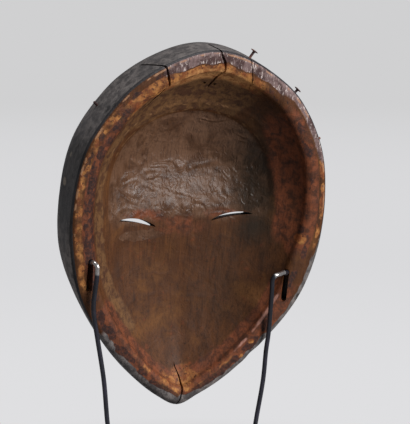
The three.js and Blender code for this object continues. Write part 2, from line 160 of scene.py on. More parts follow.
# Stations of the arms: height share, reach inwards from the outline, gap behind the rim.
ARM_STATIONS = {
    1: [(0.386, 12.6, 3.2), (0.351, 10.3, 2.7), (0.317, 7.3, 2.2), (0.288, 4.8, 1.9),
        (0.247, 1.5, 1.6), (0.2, -3.1, 1.6)],
    -1: [(0.345, 27.6, 4.1), (0.311, 23.8, 3.3), (0.274, 18.7, 2.6), (0.235, 12, 2),
         (0.193, 4.3, 1.7), (0.154, -3, 1.7)],
}
# Below the mask: steps inwards, backwards and down from the last station.
ARM_DROPS = {1: [(6, 0.9, 25.9), (10.8, 2.4, 55.4)], -1: [(-0.3, 0.4, 21.2), (2.2, 2.3, 51.7)]}
ABOVE_LANDING = (1.5, -0.5, 22)
ARM_LANDING = (46, 4, 8)
ARM_BITE = 5.65
# Spread in millimetres of the bare steel round each hook's bend, painted pale as a glint.
HOOK_GLINT_SPREAD = 5.5

# Foot, and the bead round each wire on it: reach beyond the wire and height.
FOOT_SIZE = (150, 110, 8)
FOOT_CORNER = 6
FOOT_EDGE = 0.7
BEAD = [(-0.1, 1.3), (0.5, 1.0), (1.1, 0.55), (1.5, -0.1)]

# Nails: name, side, height share, millimetres in front of the rim, tilt from upright, how far it
# stands out, and whether it has kept its head.
NAILS = [
    ("rim_nail_crown", -1, 0.9765, 6, 32, 5.5, True),
    ("rim_nail_temple", -1, 0.882, 6, 41, 3.2, True),
    ("nail_stub_left", 1, 0.826, 24, 45, 2.4, False),
    ("nail_stub_right", -1, 0.754, 5, 69, 1.6, False),
]
NAIL_RADIUS = 0.85
NAIL_HEAD_RADIUS = 2.5
NAIL_HEAD_THICKNESS = 0.9
NAIL_BITE = 11
NAIL_POINT = 2.5
NAIL_GAP = 0.3
ROUND_STEPS = 28

# Sectors of the mask in degrees round its middle, 0 on the left as seen from behind, 90 at the
# crown and -90 at the chin: start, end and softness of the ends.
SECTORS = {
    "left": (-30, 56, 6), "upper left": (50, 76, 5), "crown": (72, 118, 6),
    "right": (118, 190, 8), "low right": (-166, -128, 8), "low left": (-128, -50, 5),
    "outer crown": (52, 128, 14), "outer upper left": (36, 60, 8),
    "outer low left": (-62, -6, 14), "pale edge": (-8, 176, 12), "honey crown": (72, 106, 16),
    "golden crown": (72, 110, 14), "golden chin": (-112, -66, 10),
    "scorched edge": (20, 74, 8), "scorched low": (-128, -28, 8),
    "scorched right": (112, 236, 10), "scuffed right": (110, 152, 8),
    "red right": (124, 194, 16), "red low": (-150, -40, 10), "lit left wall": (-66, 60, 10),
    "straw crown": (58, 112, 10), "shaded right": (140, 200, 14), "shiny ridge": (-146, -112, 5),
    "nick": (-121, -116, 2),
}

# Single marks: x, z, size, and how many times wider and taller than round.
PALE_CHIPS = [(-46, 41.5, 2.2, 1, 1 / 1.3), (-40, 31.4, 1.4, 1, 1)]
TAN_MARK = (-73.2, 111, 3, 1, 1)
SCORCH_SPOTS = [(-71.7, 117.2, 2.6, 1, 1), (-75.8, 102, 2, 1, 2.6)]
GOLDEN_CHIN = (0, 14, 11, 1.5, 1)
SHINY_CHEEK = (29.1, 107.8, 15, 3.4)
# Chalky marks on the outer wall: x, z, depth and size.
CHALK_MARKS = [(84.8, 146, 22, 2.6), (80.4, 162.9, 22, 2.1), (75, 182, 30, 1.5),
               (85, 120, 26, 1.4)]


def rise(value, start, end):
    """Smooth rise from 0 to 1 between two values, which may come in either order."""
    share = np.clip((value - start) / (end - start), 0, 1)
    return share * share * (3 - 2 * share)


def hump(value, middle, width):
    return np.exp(-(((value - middle) / width) ** 2))


def between(degrees, start, end, soft):
    """1 where an angle round the rim lies between two others, with soft ends."""
    middle = (start + end) / 2
    away = np.abs((degrees - middle + 180) % 360 - 180)
    return rise(away, (end - start) / 2 + soft, (end - start) / 2 - soft)


def smooth_run(points, per_span, closed):
    """Points along the centripetal curve through the given ones."""
    points = np.array(points, float)
    count = len(points)
    runs = []
    for i in range(count if closed else count - 1):
        p1, p2 = points[i], points[(i + 1) % count]
        p0 = points[i - 1] if closed or i > 0 else 2 * p1 - p2
        p3 = points[(i + 2) % count] if closed or i + 2 < count else 2 * p2 - p1
        spans = ((p0, p1), (p1, p2), (p2, p3))
        d0, d1, d2 = (max(np.linalg.norm(b - a), 1e-9) ** 0.5 for a, b in spans)
        t1 = ((p1 - p0) / d0 - (p2 - p0) / (d0 + d1) + (p2 - p1) / d1) * d1
        t2 = ((p2 - p1) / d1 - (p3 - p1) / (d1 + d2) + (p3 - p2) / d2) * d1
        t = np.linspace(0, 1, per_span, endpoint=False)[:, None]
        square = 3 * (p2 - p1) - 2 * t1 - t2
        cube = 2 * (p1 - p2) + t1 + t2
        runs.append(p1 + t1 * t + square * t ** 2 + cube * t ** 3)
    if not closed:
        runs.append(points[-1:])
    return np.concatenate(runs)


def rim_outline():
    left = [(across * HALF_WIDTH, up * HEIGHT) for across, up in OUTLINE_LEFT]
    right = [(-across * HALF_WIDTH, up * HEIGHT) for across, up in OUTLINE_RIGHT]
    return smooth_run(left + right[::-1], 60, True)


OUTLINE = rim_outline()
OUTLINE_TURNS = np.arctan2(OUTLINE[:, 1] - MIDDLE_UP, OUTLINE[:, 0])
OUTLINE_REACHES = np.hypot(OUTLINE[:, 0], OUTLINE[:, 1] - MIDDLE_UP)


def outline_reach(turn):
    order = np.argsort(OUTLINE_TURNS)
    return np.interp(turn, OUTLINE_TURNS[order], OUTLINE_REACHES[order], period=2 * math.pi)


def outline_at(side, level):
    """The point of the outline at a height on one side."""
    half = OUTLINE[side * OUTLINE[:, 0] > -1e-6]
    half = half[np.argsort(half[:, 1])]
    return Vector((np.interp(level, half[:, 1], half[:, 0]), 0, level))


def rim_width(x, z):
    wider, up, spread = RIM_SWELL
    return RIM_WIDTH + np.where(x < 0, wider, 0) * hump(z / HEIGHT, up, spread)


MASK_TURN = Matrix.Rotation(MASK_LEAN, 4, "X") @ Matrix.Rotation(MASK_ROLL, 4, "Y")


def into_place(points):
    """Mask millimetres to metres in the part's frame."""
    turn = np.array(MASK_TURN.to_3x3())
    return points @ turn.T * MM + np.array(MASK_PLACE)


def point_in_place(point):
    return MASK_TURN @ Vector(point) * MM + MASK_PLACE


def lumps(points, size, seed):
    """Soft random heights from -1 to 1 with lumps of a given size in millimetres."""
    shift = Vector((seed * 17.3, seed * 5.1, seed * 11.7))
    return np.array([noise.noise(Vector(p) / size + shift) for p in points.tolist()])


def dome_depth(z):
    return CHIN_DEPTH + (FOREHEAD_DEPTH - CHIN_DEPTH) * rise(z, 0.25 * HEIGHT, 0.64 * HEIGHT)


def face_relief(x, z):
    """How far the plain face swells forward, or sinks between brow and cheek."""
    across, up = np.abs(x) / HALF_WIDTH, z / HEIGHT
    swollen = sum(forward * hump(up, level, tall) * hump(across, middle, wide)
                  for forward, level, tall, middle, wide in SWELLINGS)
    brow_to_cheek = rise(up, 0.6, 0.53) * rise(up, 0.33, 0.46)
    return swollen - EYE_SUNK * brow_to_cheek * hump(across, 0.4, 0.32)


def soft_max(a, b, soft):
    """The larger of two depths, with the valley between them rounded over."""
    gap = np.clip(1 - np.abs(a - b) / soft, 0, 1)
    return np.maximum(a, b) + soft * gap ** 2 / 4


def with_features(depth, x, z):
    """Nose, lips and chin over the plain face."""
    up = z / HEIGHT
    levels = np.array(NOSE[::-1])
    half = np.interp(up, levels[:, 0], levels[:, 1], left=0.01, right=0.01)
    front = np.interp(up, levels[:, 0], levels[:, 2], left=0, right=0)
    middle = (front + NOSE_BACK) / 2
    nose = middle + (front - middle) * np.sqrt(np.clip(1 - (x / half) ** 2, 0, 1))
    nose = np.where((np.abs(x) < half) & (front > 0), nose, 0)
    depth = soft_max(depth, nose, 2.5)
    for up_share, forward, (wide, deep, tall) in LIPS_AND_CHIN:
        inside = 1 - (x / wide) ** 2 - ((z - up_share * HEIGHT) / tall) ** 2
        mass = np.where(inside > 0, forward + deep * np.sqrt(np.clip(inside, 0, 1)), 0)
        depth = soft_max(depth, mass, 2)
    return depth


def hollow_depth(z, share):
    deeper = (FOREHEAD_HOLLOW - FACE_HOLLOW) * rise(z, 0.5 * HEIGHT, 0.7 * HEIGHT)
    below_rim = FACE_HOLLOW + deeper - RIM_INNER_DROP
    return RIM_INNER_DROP + below_rim * np.clip(1 - share ** 3, 0, 1) ** 0.86


def forehead_arc(x, z):
    """Below 1 inside the arc where the forehead was hollowed deeper, above 1 outside it."""
    return (np.abs(x) / 56) ** 2 + (np.clip(z - 120, 0, None) / 70) ** 3.2


def wall_curve(share):
    """The other share of a point on the squarish curve from the face into the wall."""
    return np.clip(1 - share ** WALL_SQUARENESS, 0, 1) ** (1 / WALL_SQUARENESS)


def carve(ring, turn):
    """Stations of the mask's surface, ring by ring from the face round the rim into the hollow.

    Gives the points, the inset from the outline across the rim (negative on the face and wall),
    the share of the hollow from its middle (0) to the rim (1), above 1 elsewhere, and the depth."""
    reach = outline_reach(turn)
    cos, sin = np.cos(turn), np.sin(turn)
    rim_z = MIDDLE_UP + sin * reach
    width = rim_width(cos * reach, rim_z)
    stands_out, flare_up, flare_spread = CHEEK_FLARE
    flare = stands_out * hump(rim_z / HEIGHT, flare_up, flare_spread)
    bevel = CHIN_BEVEL + (RIM_OUTER_BEVEL - CHIN_BEVEL) * rise(rim_z, 0, 0.3 * HEIGHT)
    face, wall, outer, rim, inner, hollow = (
        (ring > start) & (ring <= end) for start, end in zip((-1, *BANDS[1:-1]), BANDS[1:]))

    def along(band):
        return (ring - BANDS[band]) / (BANDS[band + 1] - BANDS[band])

    share = np.ones_like(reach)
    inset = np.zeros_like(reach)
    depth = np.zeros_like(reach)
    rim_share = np.full_like(reach, 2.0)

    share[face] = wall_curve(WALL_START) * (1 - (1 - along(0)[face]) ** FACE_CROWDING)
    part = WALL_START + (bevel / dome_depth(rim_z) - WALL_START) * along(1)
    share[wall] = wall_curve(part[wall])
    outside = face | wall
    swell = flare * np.where(wall, np.interp(part, *FLARE_ON_WALL), rise(share, 0.7, 0.95))
    x, z = cos * (reach + swell) * share, MIDDLE_UP + sin * (reach + swell) * share
    profile = np.where(wall, part, wall_curve(share))
    front = dome_depth(z) * profile + face_relief(x, z) * rise(share, 1, 0.8)
    front = np.where(face & (share < 0.9), with_features(front, x, z), front)
    depth[outside] = front[outside]

    swing = along(2) * math.pi / 2
    inset[outer] = (bevel * (1 - np.cos(swing)))[outer]
    depth[outer] = (bevel * (1 - np.sin(swing)))[outer]
    swell = np.where(outside, swell, 0)
    at_rim = FLARE_ON_WALL[1][0] * flare
    swell[outer] = (at_rim * np.clip(1 - along(2), 0, 1) ** 2)[outer]
    inset[rim] = (bevel + (width - RIM_INNER_BEVEL - bevel) * along(3))[rim]
    fall = np.clip(along(4), 0, 1)
    inset[inner] = (width - RIM_INNER_BEVEL * (1 - fall))[inner]
    depth[inner] = (RIM_INNER_DROP * (1 - np.sqrt(1 - fall ** 2)))[inner]
    inset[hollow] = width[hollow]
    share[hollow] = 1 - np.clip(along(5)[hollow], 0, 1) ** HOLLOW_CROWDING
    rim_share[hollow] = share[hollow]
    reach = (reach + swell - inset) * share
    x, z = cos * reach, MIDDLE_UP + sin * reach
    depth[hollow] = hollow_depth(z, share)[hollow]
    points = np.stack([x, -depth, z], axis=1)
    across = np.where(outside, -1.0, inset)
    return points, across, rim_share, depth


def roughen(points, across, rim_share, turn):
    """Hand-tool unevenness, the arc in the hollow, and wear along the edges."""
    x, z = points[:, 0], points[:, 2]
    hollow = rim_share <= 1
    broad = lumps(points, 24, 1)
    fine = lumps(points, 8, 2)
    strokes = lumps(points * np.array([1, 1, 0.3]), 6, 3)

    arc = forehead_arc(x, z)
    step = 1.5 * rise(arc, 1.1, 0.93) * rise(z, 118, 150)
    second_step = 0.5 * hump(arc, 1.3 + 0.1 * broad, 0.07) * rise(z, 150, 180)
    into_hollow = step - second_step + 0.5 * broad + 0.12 * fine + 0.16 * strokes
    points[:, 1] -= np.where(hollow, into_hollow * rise(rim_share, 1, 0.9), 0)

    rim = (across >= 0) & ~hollow
    sunk = 0.45 * np.clip(0.4 + broad + 0.5 * fine, 0, 2)
    points[:, 1] -= np.where(rim, sunk * rise(across, 0, 2), 0)

    pull = 0.18 * np.clip(0.5 + broad, 0, 2) + 0.06 * np.clip(fine + 0.5, 0, 2)
    towards = np.stack([-x, np.zeros_like(x), MIDDLE_UP - z], axis=1)
    towards /= np.maximum(np.linalg.norm(towards, axis=1, keepdims=True), 1)
    points += towards * np.where(hollow, 0, pull)[:, None]
    nick = 1.5 * between(np.degrees(turn), *SECTORS["nick"])
    nick = nick * hump(across, 0, 2) * (0.4 + 0.6 * np.abs(fine))
    points += towards * np.where(rim, nick, 0)[:, None]
    return points


def add_object(name, data):
    made = bpy.data.objects.new(name, data)
    bpy.context.scene.collection.objects.link(made)
    return made


def mesh_of(work, name):
    """The finished bmesh as a mesh."""
    mesh = bpy.data.meshes.new(name)
    work.to_mesh(mesh)
    work.free()
    return mesh


def evaluated_mesh(draft):
    bpy.context.view_layer.update()
    graph = bpy.context.evaluated_depsgraph_get()
    return bpy.data.meshes.new_from_object(draft.evaluated_get(graph))


def draw_out(work, face, way):
    """Extrudes a face and gives the moved corners."""
    grown = bmesh.ops.extrude_face_region(work, geom=[face])
    moved = [v for v in grown["geom"] if isinstance(v, bmesh.types.BMVert)]
    bmesh.ops.translate(work, verts=moved, vec=way)
    return moved


def spin_round(work, chain, centre):
    """Turns a chain of corners once round the upright line through a point."""
    edges = [work.edges.new(pair) for pair in zip(chain, chain[1:])]
    bmesh.ops.spin(work, geom=chain + edges, cent=centre, axis=(0, 0, 1), angle=2 * math.pi,
                   steps=ROUND_STEPS, use_merge=True, use_duplicate=False)


def ribbon(line, halves):
    """The outline round a line of points, with its own half width at each point."""
    along = np.gradient(line, axis=0)
    along /= np.linalg.norm(along, axis=1, keepdims=True)
    across = np.stack([-along[:, 1], along[:, 0]], axis=1) * halves[:, None]
    return np.concatenate([line + across, (line - across)[::-1]])


def add_blade(tools, outline, start, end, drift):
    """A flat outline in the rim's plane, drawn out from one y to another with a sideways drift."""
    face = tools.faces.new([tools.verts.new((x, start, z)) for x, z in outline])
    draw_out(tools, face, (drift[0], end - start, drift[1]))


def slit_outline(side):
    """The slit's outline where its tool starts: it falls towards the face to its place."""
    t = np.linspace(0, 1, 25)
    peak = 0.78
    lift = 4.9 * t * (2 * peak - t) / peak ** 2
    x = side * (SLIT_START + SLIT_LENGTH * t)
    z = SLIT_LEVEL - side * 1.6 + lift + SLIT_FALL * (SLIT_MIDDLE_DEPTH + SLIT_TOOL_START)
    halves = SLIT_HALF * np.maximum(0.12, np.sin(math.pi * t) ** 0.5)
    return ribbon(np.stack([x, z], axis=1), halves)


def crack_outline(shares, halves, seed, wander):
    """A split with ragged sides along a line given in shares of half the width and height."""
    marks = np.array(shares, float) * np.array([HALF_WIDTH, HEIGHT])
    line = smooth_run(marks, 8, False)
    steps = np.linspace(0, 1, len(line))
    widths = np.interp(steps, np.linspace(0, 1, len(halves)), halves)
    flat = np.stack([line[:, 0], np.zeros(len(line)), line[:, 1]], axis=1)
    line = line + np.stack([lumps(flat, 5, seed), lumps(flat, 5, seed + 1)], axis=1) * wander
    widths = widths * (1 + 0.35 * lumps(flat, 3, seed + 2))
    return ribbon(line, widths)


def slot_frame(side):
    """Where the hook enters the slot's upper end, and the way it goes in."""
    inward, up, turn = SLOTS[side]
    hook = outline_at(side, up * HEIGHT) - Vector((side * inward, 0, 0))
    return hook, Vector((side * math.sin(turn), -math.cos(turn), 0))


def add_slot(tools, side):
    hook, into = slot_frame(side)
    half = ROD_RADIUS + HOOK_CLEARANCE
    straight = SLOT_LENGTH / 2 - half
    made = bmesh.ops.create_circle(tools, cap_ends=True, segments=ROUND_STEPS, radius=half)
    verts = made["verts"]
    for v in verts:
        v.co.y += straight if v.co.y > 0 else -straight
    moved = draw_out(tools, verts[0].link_faces[0], (0, 0, SLOT_DEPTH + SLOT_LEAD))
    upright = Vector((0, 0, 1))
    placed = Matrix((upright.cross(into), upright, into)).transposed().to_4x4()
    placed.translation = hook - upright * straight - into * SLOT_LEAD
    bmesh.ops.transform(tools, matrix=placed, verts=verts + moved)


def add_hole(tools, spot, axis, radius, depth):
    made = bmesh.ops.create_cone(tools, cap_ends=True, segments=14, radius1=radius,
                                 radius2=radius, depth=depth)
    placed = Vector(axis).to_track_quat("Z", "Y").to_matrix().to_4x4()
    placed.translation = Vector(spot)
    bmesh.ops.transform(tools, matrix=placed, verts=made["verts"])


def nail_placed(side, up, forward, tilt):
    spot = outline_at(side, up * HEIGHT)
    placed = Matrix.Rotation(side * math.radians(tilt), 4, "Y")
    placed.translation = Vector((spot.x, -forward, spot.z))
    return placed


def cutting_tool(add_parts):
    """One kind of cutter, made by a function that adds its parts in the mask's millimetres."""
    work = bmesh.new()
    add_parts(work)
    bmesh.ops.recalc_face_normals(work, faces=work.faces)
    for v in work.verts:
        v.co = point_in_place(v.co)
    return add_object("cutter", mesh_of(work, "cutter"))


def add_slits(work):
    fall = (0, (SLIT_TOOL_END - SLIT_TOOL_START) * SLIT_FALL)
    for side in (1, -1):
        add_blade(work, slit_outline(side), SLIT_TOOL_START, SLIT_TOOL_END, fall)


def add_slots(work):
    for side in (1, -1):
        add_slot(work, side)


def add_cracks(work):
    for shares, halves, seed, wander, depth, drift in CRACKS:
        add_blade(work, crack_outline(shares, halves, seed, wander), 1, -depth, drift)


def add_worm_holes(work):
    for x, z, radius in WORM_HOLES:
        add_hole(work, (x, -WORM_HOLE_MIDDLE, z), WORM_HOLE_WAY, radius, WORM_HOLE_LENGTH)


def add_nail_holes(work):
    for _, side, up, forward, tilt, stands_out, _ in NAILS:
        placed = nail_placed(side, up, forward, tilt)
        axis = placed.to_3x3() @ Vector((0, 0, 1))
        middle = placed @ Vector((0, 0, (stands_out - NAIL_BITE) / 2))
        add_hole(work, middle, axis, NAIL_RADIUS + NAIL_GAP, NAIL_BITE + stands_out + NAIL_GAP)


class Places:
    """Where each point of the mask lies, and lumps that break up the borders of the finishes."""

    def __init__(self, points, across, rim_share, depth, turn):
        self.x, self.z = points[:, 0], points[:, 2]
        self.across, self.rim_share, self.depth = across, rim_share, depth
        self.degrees = np.degrees(turn)
        self.hollow = rim_share <= 1
        self.outside, self.inside = across < 0, across >= 0
        self.on_rim = self.inside & ~self.hollow
        over_rim = across / rim_width(self.x, self.z)
        self.rim = np.where(self.on_rim, over_rim, np.where(self.hollow, 1.0, 0.0))
        self.deep = np.where(self.hollow, 1 - rim_share, 0)
        self.broad = lumps(points, 20, 21)
        self.chunks = lumps(points, 8, 31) + 0.5 * lumps(points, 3.4, 32)
        self.flakes = lumps(points, 5, 33) + 0.6 * lumps(points, 2.2, 34)
        self.arc = forehead_arc(self.x, self.z)
        chips = 1.5 * sum(self.spot(*chip) for chip in PALE_CHIPS) - 0.4 * np.abs(self.flakes)
        self.chips = np.clip(chips, 0, 1)
        self.tan_mark = 1.6 * self.spot(*TAN_MARK)

    def sector(self, name):
        return between(self.degrees, *SECTORS[name])

    def by_sector(self, parts):
        """The parts of a finish, each in its own sector."""
        return sum(self.sector(name) * part for name, part in parts.items())

    def away(self, x, z, wide=1, tall=1):
        return np.hypot((self.x - x) / wide, (self.z - z) / tall)

    def spot(self, x, z, size, wide, tall):
        return hump(self.away(x, z, wide, tall), 0, size)


def soot_zones(at):
    """Soot outside and on the rim's outer edge, where it has greyed, with painted light making the
    outer wall lighter grey towards the crown, and chalky marks on it.
    """
    edge = rise(at.across, 1.7, 0.3)
    wider_at_chin = 3 * hump(at.degrees, -90, 9)
    low_left = rise(at.across + 2.5 * at.chunks - wider_at_chin, 6.5, 4) * at.sector("low left")
    low_right = rise(at.across + 1.5 * at.chunks, 4.6, 2.8) * at.sector("low right")
    rim_soot = np.clip(edge + low_left + low_right, 0, 1) * (1 - at.chips)
    # Painted light: the outer wall towards the crown and upper left, where it faces up into the
    # light, is painted a lighter grey.
    lit_grey_top = 0.56 * at.sector("outer crown") + 0.6 * at.sector("outer upper left")
    lit_grey_top = lit_grey_top * rise(at.depth + 8 * at.broad, 56, 30)
    grey_low = 1.7 * at.sector("outer low left") * rise(at.depth + 6 * at.broad, 34, 16)
    grey = 0.3 + 0.2 * at.broad + lit_grey_top + grey_low
    chalk = sum(hump(np.hypot(at.away(x, z), (at.depth - depth) * 0.7), 0, size)
                for x, z, depth, size in CHALK_MARKS)
    return {
        "soot": np.where(at.outside, 1, rim_soot * at.on_rim),
        "greyed_and_lit": np.where(at.outside, np.clip(grey, 0, 1.8), low_left + low_right > 0),
        "chalk": np.clip(1.3 * chalk, 0, 1) * at.outside,
    }


def bright_zones(at):
    """Golden wood along the rim, honey tones at the crown, the edges gone pale with wear, and a
    painted highlight along the ridge at the lower right.
    """
    honey = hump(at.rim + 2.5 * at.deep + 0.06 * at.chunks, 0.98, 0.26) * rise(at.deep, 0.12, 0.03)
    pale = hump(at.across, 1.9, 0.8) * rise(at.chunks, -0.1, 0.25)
    left = rise(at.rim, 0.06, 0.16) * rise(at.rim + 0.2 * at.chunks, 0.6, 0.36)
    left = left * (0.6 + 0.4 * at.flakes)
    upper_left = rise(at.rim, 0.3, 0.45) * rise(at.deep, 0.05, 0.01)
    crown = rise(at.rim + 0.1 * at.chunks, 0.5, 0.66) * rise(at.deep, 0.07, 0.02)
    right = hump(at.rim, 0.2, 0.13) * rise(at.chunks, -0.35, 0.1)
    low = hump(at.rim + 0.2 * at.chunks, 0.8, 0.22) * rise(at.chunks, -0.2, 0.2)
    golden = at.tan_mark + at.chips + 0.5 * at.spot(*GOLDEN_CHIN) + at.by_sector({
        "left": left, "upper left": upper_left, "golden crown": crown, "right": right,
        "golden chin": 0.8 * low})
    # Painted highlight: a pale pink line along the rim's inner ridge at the lower right, where it
    # also shines more.
    ridge = hump(at.rim, 0.86, 0.06) * rise(at.chunks, -0.7, 0.3)
    return {
        "honey": at.sector("honey crown") * honey * at.inside,
        "pale_edge": at.sector("pale edge") * pale * at.on_rim,
        "golden": np.clip(golden, 0, 1) * at.inside,
        "ridge_sheen": at.sector("shiny ridge") * ridge * at.on_rim,
    }


def dark_zones(at):
    """Scorched and scuffed wood on the rim, and red wood on the rim and the walls."""
    left = rise(at.rim - 0.16 * at.chunks, 0.42, 0.62) * rise(at.deep, 0.05, 0.01)
    left = left * rise(at.flakes, -0.45, 0.05)
    edge = hump(at.rim, 0.32, 0.16) * rise(at.chunks, -0.05, 0.2)
    low = hump(at.rim, 0.5, 0.3) * rise(at.chunks, -0.3, 0.1)
    right = hump(at.rim, 0.72, 0.2) * rise(at.chunks, 0.05, 0.3)
    spots = 1.5 * sum(at.spot(*spot) for spot in SCORCH_SPOTS)
    scorch = spots * at.on_rim + at.by_sector({
        "left": left, "scorched edge": edge, "scorched low": low, "scorched right": right})
    scorch = np.clip(scorch, 0, 1) * (1 - at.chips) * (1 - np.clip(at.tan_mark, 0, 1))
    scuffed = at.by_sector({"crown": rise(at.rim + 0.1 * at.chunks, 0.6, 0.45),
                            "scuffed right": hump(at.rim, 0.12, 0.22)})
    red = at.by_sector({"left": rise(at.rim, 0.35, 0.6) * rise(at.deep, 0.06, 0),
                        "red right": rise(at.rim, 0.25, 0.5) * rise(at.deep, 0.3, 0.08),
                        "red low": rise(at.rim, 0.1, 0.4) * rise(at.deep, 0.12, 0)})
    between_slits = hump(at.x, 0, 26) * hump(at.z, 112, 9)
    above_slits = hump(np.abs(at.x), 30, 20) * hump(at.z, 122, 5)
    red = red + 0.6 * (between_slits + above_slits) * at.hollow
    return {
        "scorch": scorch * at.inside,
        "scuffed": np.clip(scuffed, 0, 1) * at.on_rim,
        "oxblood": np.clip(red, 0, 1) * at.inside,
    }


def hollow_zones(at):
    """Shine, straw tones with painted light on the left wall, tool lines and painted shade on the
    right, in the hollow.
    """
    brow = rise(at.arc, 1.1, 0.84) * rise(at.z + 4 * at.broad + 3 * at.chunks, 102, 134)
    x, z, wide, tall = SHINY_CHEEK
    cheek = rise(at.away(x, z, wide, tall) + 0.3 * at.flakes, 1.3, 0.7)
    # Painted light: the left inner wall, which faces the light, is laid over with lighter
    # straw-tan; at the crown and low down the straw-tan is the wood's own.
    lit_left_wall = at.sector("lit left wall") * hump(at.deep, 0.1, 0.07)
    straw_crown = at.sector("straw crown") * rise(at.arc, 0.98, 1.12)
    straw_low = rise(at.z + 5 * at.broad, 74, 30) * rise(np.abs(at.x - 4), 34, 16)
    line = hump(at.arc + 0.05 * at.broad, 1.04, 0.022) * rise(at.flakes, -0.3, 0.3)
    second_line = hump(at.arc + 0.08 * at.broad, 1.3, 0.03) * rise(at.flakes, 0, 0.4)
    # Painted shade: the hollow's right side, which faces away from the light, is darkened in its
    # colour over the wall, the brow and below the eyes.
    dark_right = rise(at.rim_share, 0.36, 0.7) * rise(at.deep, 0.02, 0.12)
    dark_right = at.sector("shaded right") * dark_right
    dark_brow = hump(at.x + 4 * at.broad, -46, 22) * rise(at.z, 98, 140) * rise(at.z, 215, 175)
    dark_low = hump(at.x + 5 * at.broad, -34, 20) * rise(at.z, 118, 96) * rise(at.z, 36, 60)
    zones = {
        "bloom": np.clip(brow + 1.1 * cheek, 0, 1),
        "straw_and_lit_wall": np.clip(0.9 * lit_left_wall + straw_crown + 0.3 * straw_low, 0, 1),
        "tool_lines": np.clip(line + second_line, 0, 1) * rise(at.z, 140, 165),
        "painted_shade": np.clip(0.8 * dark_right + 0.75 * dark_brow + 0.4 * dark_low, 0, 1),
    }
    return {name: zone * at.hollow for name, zone in zones.items()}


def finish_zones(*surface):
    """How much of each finish lies on each point of the mask: 0 for none, 1 for all of it."""
    at = Places(*surface)
    return {**soot_zones(at), **bright_zones(at), **dark_zones(at), **hollow_zones(at)}


def new_piece(name, mesh, material, slot_name, *nodes):
    mesh.name = name
    piece = add_object(name, mesh)
    mesh.materials.clear()
    mesh.materials.append(material)
    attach(piece, "root")
    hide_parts(*nodes)
    return piece


def soften(mesh, degrees, merge=0.0):
    """Smooth shading with crisp edges where two faces meet more sharply than the angle."""
    angle = math.radians(degrees)
    work = bmesh.new()
    work.from_mesh(mesh)
    if merge:
        bmesh.ops.remove_doubles(work, verts=work.verts, dist=merge)
        bmesh.ops.recalc_face_normals(work, faces=work.faces)
    bmesh.ops.dissolve_degenerate(work, dist=1e-7, edges=work.edges)
    for face in work.faces:
        face.smooth = True
    for edge in work.edges:
        edge.smooth = edge.is_manifold and edge.calc_face_angle(0) < angle
    work.to_mesh(mesh)
    work.free()


def carved_mask(material):
    work = bmesh.new()
    bmesh.ops.create_uvsphere(work, u_segments=AROUND, v_segments=ALL_RINGS, radius=1)
    blank = mesh_of(work, "blank")
    ball = np.empty(len(blank.vertices) * 3)
    blank.vertices.foreach_get("co", ball)
    ball = ball.reshape(-1, 3)
    ring = np.rint(np.arccos(np.clip(ball[:, 2], -1, 1)) / math.pi * ALL_RINGS)
    turn = np.arctan2(ball[:, 1], ball[:, 0])
    points, across, rim_share, depth = carve(ring, turn)
    zones = finish_zones(points, across, rim_share, depth, turn)
    points = into_place(roughen(points, across, rim_share, turn))
    blank.vertices.foreach_set("co", points.ravel())
    blank.update()

    solid = add_object("blank", blank)
    kinds = (add_slits, add_slots, add_cracks, add_worm_holes, add_nail_holes)
    cutters = [cutting_tool(kind) for kind in kinds]
    for cutter in cutters:
        cut = solid.modifiers.new("cut", "BOOLEAN")
        cut.operation = "DIFFERENCE"
        cut.solver = "MANIFOLD"
        cut.object = cutter
    mesh = evaluated_mesh(solid)
    for draft in (solid, *cutters):
        bpy.data.objects.remove(draft)
    soften(mesh, 38)

    # The cuts make new corners, so each corner takes the finish of the nearest old one.
    tree = KDTree(len(points))
    for i, point in enumerate(points.tolist()):
        tree.insert(point, i)
    tree.balance()
    nearest = np.array([tree.find(v.co)[1] for v in mesh.vertices])
    for name, values in zones.items():
        layer = mesh.attributes.new(name, "FLOAT", "POINT")
        layer.data.foreach_set("value", values[nearest].astype(np.float32))
    return new_piece("carved_mask", mesh, material, "mask_wood", "mask")


def nail_profile(stands_out, has_head):
    """Radius and level of a nail's outline from its point up, level 0 being the wood."""
    profile = [(0, -NAIL_BITE), (0.25, -NAIL_BITE), (NAIL_RADIUS, NAIL_POINT - NAIL_BITE),
               (NAIL_RADIUS, -4), (NAIL_RADIUS * 0.97, -1)]
    if not has_head:
        return profile + [
            (NAIL_RADIUS * 0.97, stands_out - 0.5), (NAIL_RADIUS * 0.8, stands_out - 0.1),
            (0.4, stands_out), (0, stands_out - 0.05)]
    under = stands_out - NAIL_HEAD_THICKNESS
    return profile + [
        (NAIL_RADIUS * 0.95, under - 0.5), (NAIL_RADIUS * 1.15, under - 0.12),
        (1.9, under + 0.06), (NAIL_HEAD_RADIUS * 0.97, under + 0.22),
        (NAIL_HEAD_RADIUS * 0.99, under + 0.42), (NAIL_HEAD_RADIUS * 0.88, under + 0.66),
        (1.3, under + 0.85), (0, under + NAIL_HEAD_THICKNESS)]


def spun_nail(name, side, up, forward, tilt, stands_out, has_head, material):
    work = bmesh.new()
    profile = nail_profile(stands_out, has_head)
    spin_round(work, [work.verts.new((radius, 0, level)) for radius, level in profile], (0, 0, 0))
    bmesh.ops.remove_doubles(work, verts=work.verts, dist=1e-4)
    bmesh.ops.recalc_face_normals(work, faces=work.faces)
    for v in work.verts:
        if v.co.z > 0:
            dent = noise.noise(v.co * 0.9 + Vector((up * 90, 0, 0)))
            v.co.x += 0.1 * dent
            v.co.z -= 0.12 * abs(dent) * (v.co.xy.length > 1)
    placed = nail_placed(side, up, forward, tilt)
    for v in work.verts:
        v.co = point_in_place(placed @ v.co)
    mesh = mesh_of(work, name)
    soften(mesh, 50)
    return new_piece(name.replace("nail", "iron_nail"), mesh, material, "nail_iron", name)


def crook_point(side, step):
    """A point of an arm beside its slot, in the mask's millimetres."""
    hook, _ = slot_frame(side)
    inward, behind, above = step
    return Vector((hook.x - side * inward, behind, hook.z + above))


